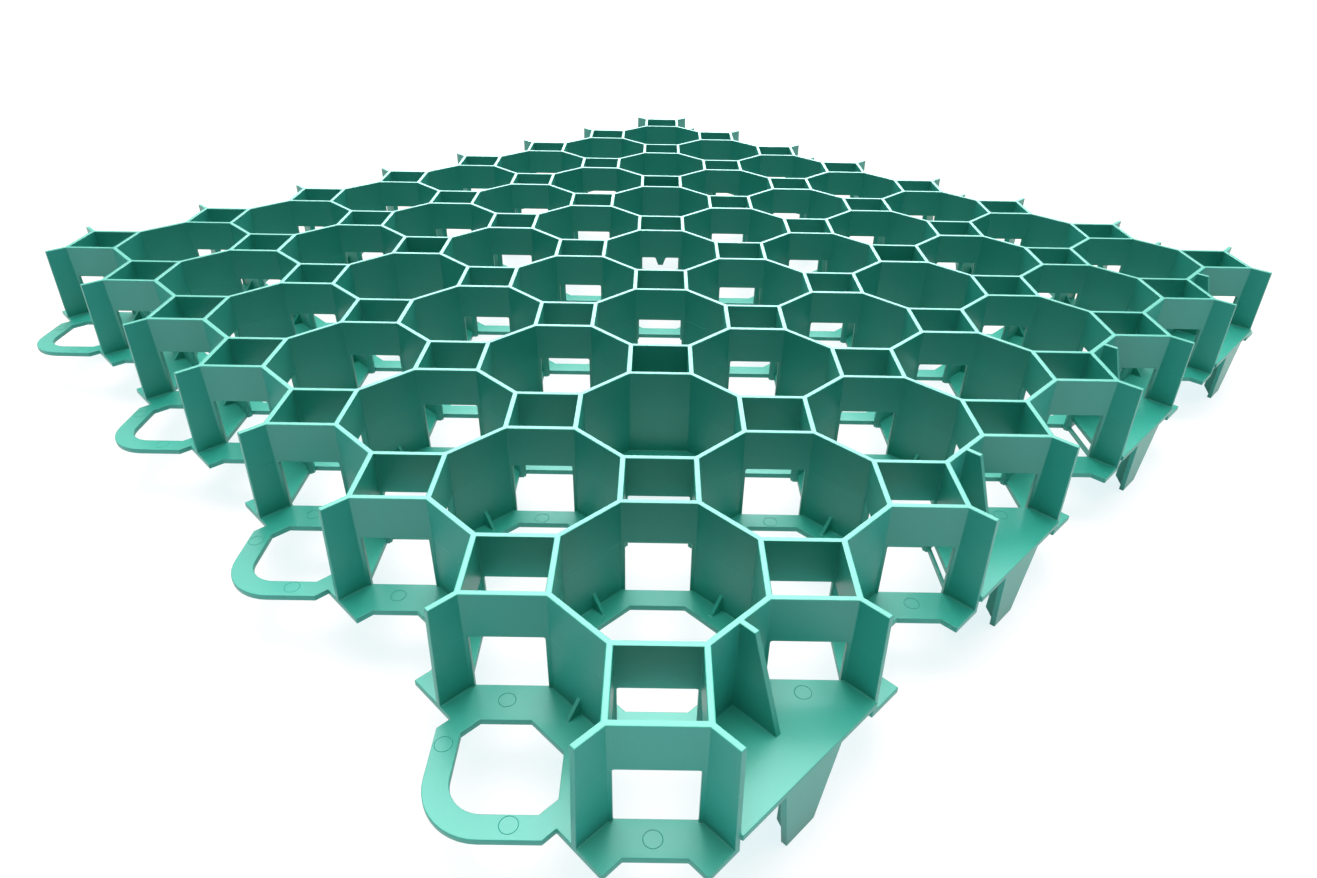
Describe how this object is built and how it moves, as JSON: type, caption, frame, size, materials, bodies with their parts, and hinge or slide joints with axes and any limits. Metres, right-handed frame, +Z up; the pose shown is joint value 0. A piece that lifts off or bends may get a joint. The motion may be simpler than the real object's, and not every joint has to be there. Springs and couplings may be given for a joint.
{
  "type": "grass paver grid",
  "caption": "Moulded plastic ground grid of octagonal and diamond cells, with loops and spiked connectors on its borders that join neighbouring grids.",
  "frame": {"origin": "centre of the bounding box's bottom face, at the level of the ground spikes' tips", "axes": "+Z up out of the ground, X and Y along the borders: connectors with ground spikes on the -Y and +X borders, loops on the -X and +Y borders"},
  "size_m": [0.5196, 0.5196, 0.0615],
  "materials": {
    "moulded_green_polyethylene": "satin, as moulded"
  },
  "bodies": {
    "root": {"paver_grid": "moulded_green_polyethylene"}
  },
  "joints": []
}
